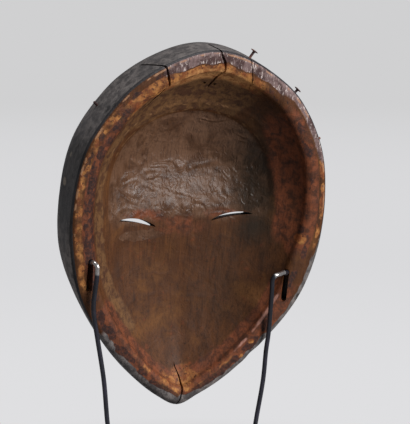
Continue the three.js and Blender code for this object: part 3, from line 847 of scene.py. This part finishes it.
def arm_run(side):
    """Points along an arm, from its hook in the slot down into the foot."""
    hook, into = slot_frame(side)
    points = [hook + into * HOOK_BITE, hook]
    points += [crook_point(side, step) for step in ARM_CROOKS[side]]
    for up, inward, gap in ARM_STATIONS[side]:
        edge = outline_at(side, up * HEIGHT)
        points.append(Vector((edge.x - side * inward, ROD_RADIUS + gap, edge.z)))
    last = points[-1]
    for inward, back, down in ARM_DROPS[side]:
        points.append(Vector((last.x - side * inward, last.y + back, last.z - down)))
    points = [point_in_place(p) / MM for p in points]
    mirrored = Vector((side, 1, 1))
    landing = mirrored * Vector(ARM_LANDING)
    points.append(landing + mirrored * Vector(ABOVE_LANDING))
    points += [landing, landing - Vector((0, 0, ARM_BITE))]
    return smooth_run([tuple(p) for p in points], ROD_SPANS, False) * MM


def bent_wire(name, side, material):
    run = arm_run(side)
    line = bpy.data.curves.new(name, "CURVE")
    line.dimensions = "3D"
    line.bevel_depth = ROD_RADIUS * MM
    line.bevel_resolution = 8
    line.use_fill_caps = True
    spline = line.splines.new("POLY")
    spline.points.add(len(run) - 1)
    for place, spot in zip(spline.points, run):
        place.co = (*spot, 1)
    draft = add_object(name, line)
    mesh = evaluated_mesh(draft)
    bpy.data.objects.remove(draft)
    soften(mesh, 50, merge=1e-6)
    bend = point_in_place(crook_point(side, ARM_CROOKS[side][1]))
    # Bare steel round the bend, also a painted glint.
    glint_and_wear = mesh.attributes.new("glint_and_wear", "FLOAT", "POINT")
    for place, v in zip(glint_and_wear.data, mesh.vertices):
        place.value = hump((v.co - bend).length / MM, 0, HOOK_GLINT_SPREAD)
    node = "stand_arm_left" if side > 0 else "stand_arm_right"
    return new_piece(name, mesh, material, "stand_steel", node)


def steel_foot(material):
    long, wide, thick = FOOT_SIZE
    work = bmesh.new()
    block = Matrix.Translation((0, 0, thick / 2)) @ Matrix.Diagonal((long, wide, thick, 1))
    bmesh.ops.create_cube(work, size=1, matrix=block)
    upright = [e for e in work.edges if abs(e.verts[0].co.z - e.verts[1].co.z) > 1]
    rounded = {"offset_type": "OFFSET", "profile": 0.5, "affect": "EDGES", "material": -1}
    bmesh.ops.bevel(work, geom=upright, offset=FOOT_CORNER, segments=8, **rounded)
    level = [e for e in work.edges if e.calc_face_angle(0) > 1.2]
    bmesh.ops.bevel(work, geom=level, offset=FOOT_EDGE, segments=3, **rounded)
    for side in (1, -1):
        x, y = side * ARM_LANDING[0], ARM_LANDING[1]
        chain = [work.verts.new((x + (ROD_RADIUS + beyond), y, thick + up)) for beyond, up in BEAD]
        spin_round(work, chain, (x, y, 0))
    bmesh.ops.scale(work, vec=(MM, MM, MM), verts=work.verts)
    bmesh.ops.recalc_face_normals(work, faces=work.faces)
    mesh = mesh_of(work, "steel_foot")
    soften(mesh, 40)
    return new_piece("steel_foot", mesh, material, "stand_steel", "stand_foot")


def tone(red, green, blue):
    """A colour given in everyday 0 to 255 steps, as the shader's linear light."""
    steps = [c / 255 for c in (red, green, blue)]
    return (*(c / 12.92 if c <= 0.04045 else ((c + 0.055) / 1.055) ** 2.4 for c in steps), 1)


# Tones of the old wood. Pairs are the light and the dark of one mottled finish.
BARE_WOOD = tone(81, 47, 21), tone(58, 32, 14)
TAN_CLOUDS = tone(100, 63, 29)
DARK_BLOTCHES = tone(44, 24, 13)
RUSSET_CHIPS = tone(104, 50, 24)
DUSTY = tone(96, 70, 53), tone(68, 45, 30)
# Straw-tan of the wood, also used as painted light on the hollow's left inner wall.
STRAW_AND_LIT_TAN = tone(102, 72, 44), tone(66, 42, 28)
TOOL_LINE = tone(132, 98, 66)
# Painted shade, laid over the hollow's right side.
PAINTED_SHADE_TONE = tone(36, 26, 16)
OXBLOOD = tone(112, 60, 36), tone(60, 34, 23)
GOLDEN = tone(164, 112, 60), tone(112, 60, 30)
GOLDEN_BLOTCHES = tone(62, 34, 22)
GOLDEN_SPECKS = tone(74, 40, 26)
HONEY = tone(206, 152, 98), tone(140, 88, 50)
SCORCH = tone(38, 25, 24), tone(84, 46, 32)
SCUFFED = tone(112, 92, 90), tone(66, 46, 44)
BRUSH_STROKES = tone(196, 182, 176)
PALE_EDGE = tone(150, 112, 84)
# Painted highlight along the rim's ridge at the lower right.
PAINTED_RIDGE_HIGHLIGHT = tone(164, 120, 106)
SOOT = tone(52, 50, 52), tone(36, 34, 36)
# Weathered grey, also laid on as painted light on the top of the outer wall.
GREYED_AND_LIT = tone(122, 115, 112)
SOOT_CHIPS = tone(84, 54, 42)
SOOT_BLOTCHES = tone(20, 19, 21)
CHALK = tone(138, 126, 112)
FIBRE_SHADE = tone(150, 140, 135)
SPECK_SHADE = tone(120, 110, 105)
WOOD_SPECULAR = 0.21

# Tones of the iron, the steel and the room.
IRON = tone(66, 46, 46), tone(104, 62, 48)
IRON_CRUST = tone(128, 112, 118)
STEEL = tone(30, 31, 38), tone(44, 42, 54)
STEEL_GRIT = tone(30, 28, 32)
# Bare steel, pale enough to stand in for a painted glint at the hooks.
BARE_STEEL_GLINT = tone(196, 192, 190)
PAPER = tone(176, 176, 178)
PAPER_GLOW = tone(223, 223, 225), tone(217, 217, 219)
ROOM = tone(208, 208, 209)
ROOM_LIGHT_TONE = tone(208, 210, 214)


class Tree:
    """A tree of nodes, built step by step."""

    def __init__(self, owner):
        owner.use_nodes = True
        self.nodes, self.links = owner.node_tree.nodes, owner.node_tree.links

    def feed(self, socket, value):
        if isinstance(value, bpy.types.NodeSocket):
            self.links.new(value, socket)
        else:
            socket.default_value = value

    def fill(self, node, **inputs):
        """Feeds inputs of a node, with an underscore for each space in their names."""
        for name, value in inputs.items():
            self.feed(node.inputs[name.replace("_", " ")], value)
        return node

    def node(self, kind, **inputs):
        return self.fill(self.nodes.new("ShaderNode" + kind), **inputs)

    def seen_by_camera(self):
        return self.node("LightPath").outputs["Is Camera Ray"]

    def blend(self, output, share, first, second):
        """Feeds the tree's output with a mix of two shaders."""
        mix = self.node("MixShader", Fac=share)
        self.feed(mix.inputs[1], first.outputs[0])
        self.feed(mix.inputs[2], second.outputs[0])
        self.fill(self.nodes[output], Surface=mix.outputs[0])


class Finish(Tree):
    """A material with its patterns, painted zones and coats of colour."""

    def __init__(self, name):
        self.material = bpy.data.materials.new(name)
        super().__init__(self.material)
        self.shader = self.nodes["Principled BSDF"]
        self.place = self.node("TexCoord").outputs["Object"]

    def mapped(self, **settings):
        """The place of a point with a turn, a scale or a shift of its own."""
        return self.node("Mapping", Vector=self.place, **settings).outputs["Vector"]

    def mottle(self, scale, detail=4, coarse=0.6, twist=0, shift=(0, 0, 0), kind="FBM"):
        """Cloudy pattern from about 0 to 1, its scale in patches per metre, one or three."""
        scale = scale if isinstance(scale, tuple) else (scale,) * 3
        cloud = self.node("TexNoise", Vector=self.mapped(Scale=scale, Location=shift), Scale=1,
                          Detail=detail, Roughness=coarse, Distortion=twist)
        cloud.noise_type = kind
        return cloud.outputs["Fac"]

    def zone(self, name):
        painted = self.nodes.new("ShaderNodeAttribute")
        painted.attribute_name = name
        return painted.outputs["Fac"]

    def sum(self, kind, *values):
        step = self.nodes.new("ShaderNodeMath")
        step.operation = kind
        for socket, value in zip(step.inputs, values):
            self.feed(socket, value)
        return step.outputs[0]

    def ramp(self, value, low, high, to_low=0.0, to_high=1.0):
        """A soft rise from one level to another while the value goes from low to high."""
        spread = self.node("MapRange", Value=value, From_Min=low, From_Max=high, To_Min=to_low,
                           To_Max=to_high)
        spread.interpolation_type = "SMOOTHSTEP"
        return spread.outputs["Result"]

    def broken(self, zone, pattern, amount=0.8, low=0.35, high=0.65):
        """A painted zone whose border is broken up by a pattern."""
        shaken = self.sum("MULTIPLY_ADD", self.sum("SUBTRACT", pattern, 0.5), amount,
                          self.zone(zone))
        return self.ramp(shaken, low, high)

    def over(self, under, colour, share, blend="MIX"):
        """One colour laid over another, or multiplied into it, by a share."""
        mix = self.node("Mix")
        mix.data_type = "RGBA"
        mix.blend_type = blend
        self.feed(mix.inputs["Factor"], share)
        self.feed(mix.inputs[6], under)
        self.feed(mix.inputs[7], colour)
        return mix.outputs[2]

    def thinly(self, under, colour, zone, strength):
        """One colour laid over a zone of another, but no thicker than a strength."""
        return self.over(under, colour, self.sum("MULTIPLY", zone, strength))

    def mottled(self, pair, pattern, low, high):
        """Two tones of one finish, mixed by a pattern."""
        return self.over(*pair, self.ramp(pattern, low, high))

    def flecked(self, under, colour, pattern, low, high, strength):
        """Flecks of a colour where a pattern passes from low to high."""
        return self.over(under, colour, self.ramp(pattern, low, high, 0, strength))

    def relief(self, height, distance, under=None, strength=1.0):
        bump = self.node("Bump", Height=height, Distance=distance, Strength=strength)
        if under is not None:
            self.fill(bump, Normal=under)
        return bump.outputs["Normal"]

    def done(self, colour, roughness, normal, metal=0.0):
        self.fill(self.shader, Base_Color=colour, Roughness=roughness, Normal=normal,
                  Metallic=metal)
        return self.material


def old_mask_wood():
    wood = Finish("old_mask_wood")
    wood.place = wood.mapped(Rotation=(-MASK_LEAN, 0, 0))
    clouds = wood.mottle(28, detail=5, twist=0.4)
    blotches = wood.mottle(75, detail=5, coarse=0.62, twist=0.6, shift=(3, 1, 2))
    chips = wood.mottle(190, detail=5, coarse=0.65, twist=0.4, shift=(6, 3, 8))
    specks = wood.mottle(520, coarse=0.62, shift=(7, 2, 5))
    fibres = wood.mottle((900, 900, 70), twist=0.3)
    streaks = wood.mottle((240, 240, 24), detail=5, coarse=0.65, twist=0.6, shift=(1, 4, 9))
    brushed = wood.mottle((700, 160, 240), twist=0.8, shift=(4, 4, 1))
    crinkle = wood.mottle((260, 260, 170), detail=6, coarse=0.65, twist=1.4, shift=(2, 8, 3),
                          kind="RIDGED_MULTIFRACTAL")
    folds = wood.mottle((70, 70, 100), twist=1.2, shift=(5, 3, 7),
                        kind="RIDGED_MULTIFRACTAL")

    colour = wood.mottled(BARE_WOOD, streaks, 0.26, 0.76)
    colour = wood.flecked(colour, TAN_CLOUDS, clouds, 0.5, 0.68, 0.7)
    colour = wood.flecked(colour, DARK_BLOTCHES, blotches, 0.5, 0.75, 0.6)
    colour = wood.flecked(colour, RUSSET_CHIPS, chips, 0.58, 0.74, 0.5)

    bloom = wood.broken("bloom", clouds, 0.5)
    colour = wood.thinly(colour, wood.mottled(DUSTY, blotches, 0.42, 0.66), bloom, 0.8)
    # Straw-tan wood, with painted light on the left inner wall.
    straw_and_lit_wall = wood.broken("straw_and_lit_wall", blotches, 0.7)
    colour = wood.thinly(colour, wood.mottled(STRAW_AND_LIT_TAN, chips, 0.42, 0.62), straw_and_lit_wall, 0.8)
    colour = wood.thinly(colour, TOOL_LINE, wood.broken("tool_lines", chips, 0.6), 0.55)
    # Painted shade: a near-black brown over the hollow's right side.
    painted_shade = wood.sum("MULTIPLY", wood.zone("painted_shade"), wood.ramp(blotches, 0.3, 0.7, 0.6, 0.95))
    colour = wood.over(colour, PAINTED_SHADE_TONE, painted_shade)
    oxblood = wood.broken("oxblood", blotches, 0.7)
    colour = wood.thinly(colour, wood.mottled(OXBLOOD, chips, 0.36, 0.66), oxblood, 0.85)

    golden = wood.broken("golden", chips, 0.8, 0.3, 0.66)
    gold = wood.mottled(GOLDEN, chips, 0.36, 0.62)
    gold = wood.flecked(gold, GOLDEN_BLOTCHES, blotches, 0.5, 0.68, 0.8)
    gold = wood.flecked(gold, GOLDEN_SPECKS, specks, 0.54, 0.66, 0.8)
    colour = wood.over(colour, gold, golden)
    honey = wood.broken("honey", chips, 0.7, 0.25, 0.75)
    colour = wood.thinly(colour, wood.mottled(HONEY, chips, 0.4, 0.66), honey, 0.8)
    scorch = wood.broken("scorch", chips, 0.8, 0.35, 0.7)
    colour = wood.thinly(colour, wood.mottled(SCORCH, specks, 0.46, 0.66), scorch, 0.85)
    scuffs = wood.mottled(SCUFFED, blotches, 0.48, 0.62)
    scuffs = wood.flecked(scuffs, BRUSH_STROKES, brushed, 0.54, 0.68, 0.9)
    colour = wood.over(colour, scuffs, wood.broken("scuffed", chips, 0.6))
    pale = wood.broken("pale_edge", specks, 0.8, 0.5, 0.75)
    colour = wood.thinly(colour, PALE_EDGE, pale, 0.75)
    # Painted highlight: pale pink laid along the ridge, which is also made glossier below.
    sheen = wood.sum("MULTIPLY_ADD", specks, 0.5, wood.zone("ridge_sheen"))
    sheen = wood.ramp(sheen, 0.5, 1.1)
    colour = wood.thinly(colour, PAINTED_RIDGE_HIGHLIGHT, sheen, 0.8)

    soot = wood.broken("soot", specks, 0.35)
    sooty = wood.mottled(SOOT, clouds, 0.4, 0.6)
    # Weathered grey, and painted light on the top of the outer wall.
    greyed_and_lit = wood.sum("MULTIPLY", wood.zone("greyed_and_lit"), wood.ramp(chips, 0.38, 0.66, 0.25, 0.85))
    sooty = wood.over(sooty, GREYED_AND_LIT, greyed_and_lit)
    sooty = wood.flecked(sooty, SOOT_CHIPS, chips, 0.68, 0.76, 0.7)
    sooty = wood.flecked(sooty, SOOT_BLOTCHES, blotches, 0.62, 0.7, 0.7)
    colour = wood.over(colour, sooty, soot)
    chalk = wood.ramp(wood.sum("MULTIPLY_ADD", chips, 0.6, wood.zone("chalk")), 0.6, 1)
    colour = wood.thinly(colour, CHALK, chalk, 0.75)
    colour = wood.over(colour, FIBRE_SHADE, wood.ramp(fibres, 0.45, 0.75, 0, 0.6), "MULTIPLY")
    colour = wood.over(colour, SPECK_SHADE, wood.ramp(specks, 0.55, 0.75, 0, 0.5), "MULTIPLY")

    roughness = wood.ramp(clouds, 0.3, 0.7, 0.56, 0.7)
    for zone, smoother in ((bloom, 0.22), (sheen, 0.25), (soot, 0.14)):
        roughness = wood.sum("SUBTRACT", roughness, wood.sum("MULTIPLY", zone, smoother))
    normal = wood.relief(fibres, 0.0002, None, 0.6)
    normal = wood.relief(chips, 0.0006, normal, wood.sum("MULTIPLY_ADD", golden, 0.5, 0.4))
    normal = wood.relief(blotches, 0.0014, normal, 0.5)
    normal = wood.relief(folds, 0.0022, normal, wood.sum("MULTIPLY", bloom, 0.7))
    normal = wood.relief(crinkle, 0.0007, normal, wood.sum("MULTIPLY_ADD", bloom, 0.6, 0.1))
    wood.fill(wood.shader, Specular_IOR_Level=WOOD_SPECULAR)
    return wood.done(colour, roughness, normal)


def rusty_iron():
    iron = Finish("rusty_iron")
    crust = iron.mottle(900, detail=6, coarse=0.65, twist=0.3)
    spots = iron.mottle(320, shift=(4, 1, 6))
    colour = iron.mottled(IRON, spots, 0.45, 0.65)
    colour = iron.flecked(colour, IRON_CRUST, crust, 0.6, 0.75, 0.6)
    roughness = iron.ramp(crust, 0.3, 0.7, 0.5, 0.85)
    metal = iron.ramp(crust, 0.5, 0.75, 0.25, 0.6)
    return iron.done(colour, roughness, iron.relief(crust, 0.0003), metal)


def blackened_steel():
    """Dark steel, rubbed bare where a painted zone says so, its pale colour there also a painted
    glint at each hook's bend.
    """
    steel = Finish("blackened_steel")
    smears = steel.mottle(60, detail=5, twist=0.5)
    grit = steel.mottle(1500, detail=3)
    colour = steel.mottled(STEEL, smears, 0.4, 0.65)
    colour = steel.flecked(colour, STEEL_GRIT, grit, 0.55, 0.7, 0.5)
    # Rubbed bare steel near the hooks, and a painted glint there.
    glint_and_wear = steel.broken("glint_and_wear", smears, 0.4, 0.3, 0.6)
    colour = steel.over(colour, BARE_STEEL_GLINT, glint_and_wear)
    roughness = steel.ramp(smears, 0.3, 0.7, 0.32, 0.5)
    roughness = steel.sum("SUBTRACT", roughness, steel.sum("MULTIPLY", glint_and_wear, 0.14))
    metal = steel.sum("MULTIPLY_ADD", glint_and_wear, 0.6, 0.35)
    return steel.done(colour, roughness, steel.relief(grit, 0.00008, None, 0.5), metal)


def pale_floor():
    """A floor of real paper round the foot that fades into one as bright as the background."""
    work = bmesh.new()
    bmesh.ops.create_circle(work, cap_ends=True, segments=96, radius=60)
    mesh = mesh_of(work, "pale_floor")
    floor = add_object("pale_floor", mesh)
    paper = Finish("pale_paper")
    length = paper.node("VectorMath", Vector=paper.place)
    length.operation = "LENGTH"
    away = length.outputs["Value"]
    colour = paper.mottled(PAPER_GLOW, away, 0.35, 1.6)
    colour = paper.over(colour, ROOM, paper.ramp(away, 1.6, 9))
    strength = paper.ramp(paper.seen_by_camera(), 0, 1, ROOM_LIGHT, 1)
    glow = paper.node("Emission", Color=colour, Strength=strength)
    paper.fill(paper.shader, Base_Color=PAPER, Roughness=0.9)
    paper.blend("Material Output", paper.ramp(away, 0.12, 0.34), paper.shader, glow)
    mesh.materials.append(paper.material)


def soft_room():
    """A pale room that looks bright to the camera and gives a soft, weaker light."""
    world = bpy.data.worlds.new("soft_room")
    bpy.context.scene.world = world
    tree = Tree(world)
    seen = tree.fill(tree.nodes["Background"], Color=ROOM, Strength=1)
    light = tree.node("Background", Color=ROOM_LIGHT_TONE, Strength=ROOM_LIGHT)
    tree.blend("World Output", tree.seen_by_camera(), light, seen)


def softbox(name, direction, distance, size, power):
    lamp = bpy.data.lights.new(name, "AREA")
    lamp.shape = "DISK"
    lamp.size = size
    lamp.energy = power
    holder = add_object(name, lamp)
    direction = Vector(direction).normalized()
    holder.location = LIGHT_AIM + direction * distance
    holder.rotation_euler = direction.to_track_quat("Z", "Y").to_euler()
    holder.visible_camera = False


def camera():
    level = math.cos(CAMERA_ELEVATION)
    back = Vector((math.sin(CAMERA_AZIMUTH) * level, -math.cos(CAMERA_AZIMUTH) * level,
                   math.sin(CAMERA_ELEVATION)))
    lens = bpy.data.cameras.new("camera")
    lens.sensor_fit = "HORIZONTAL"
    lens.sensor_width = SENSOR_WIDTH
    lens.lens = SENSOR_WIDTH * FOCAL_PIXELS / PHOTO_WIDTH
    lens.clip_start = 0.02
    lens.clip_end = 200
    holder = add_object("camera", lens)
    holder.location = CAMERA_AIM + back * CAMERA_DISTANCE
    holder.rotation_euler = back.to_track_quat("Z", "Y").to_euler()
    bpy.context.scene.camera = holder


camera()
bpy.context.scene.view_settings.view_transform = "Standard"
bpy.context.scene.view_settings.look = "None"
pale_floor()
soft_room()
for light in LIGHTS:
    softbox(*light)

carved_mask(old_mask_wood())
iron = rusty_iron()
for nail in NAILS:
    spun_nail(*nail, iron)
steel = blackened_steel()
bent_wire("wire_arm_left", 1, steel)
bent_wire("wire_arm_right", -1, steel)
steel_foot(steel)
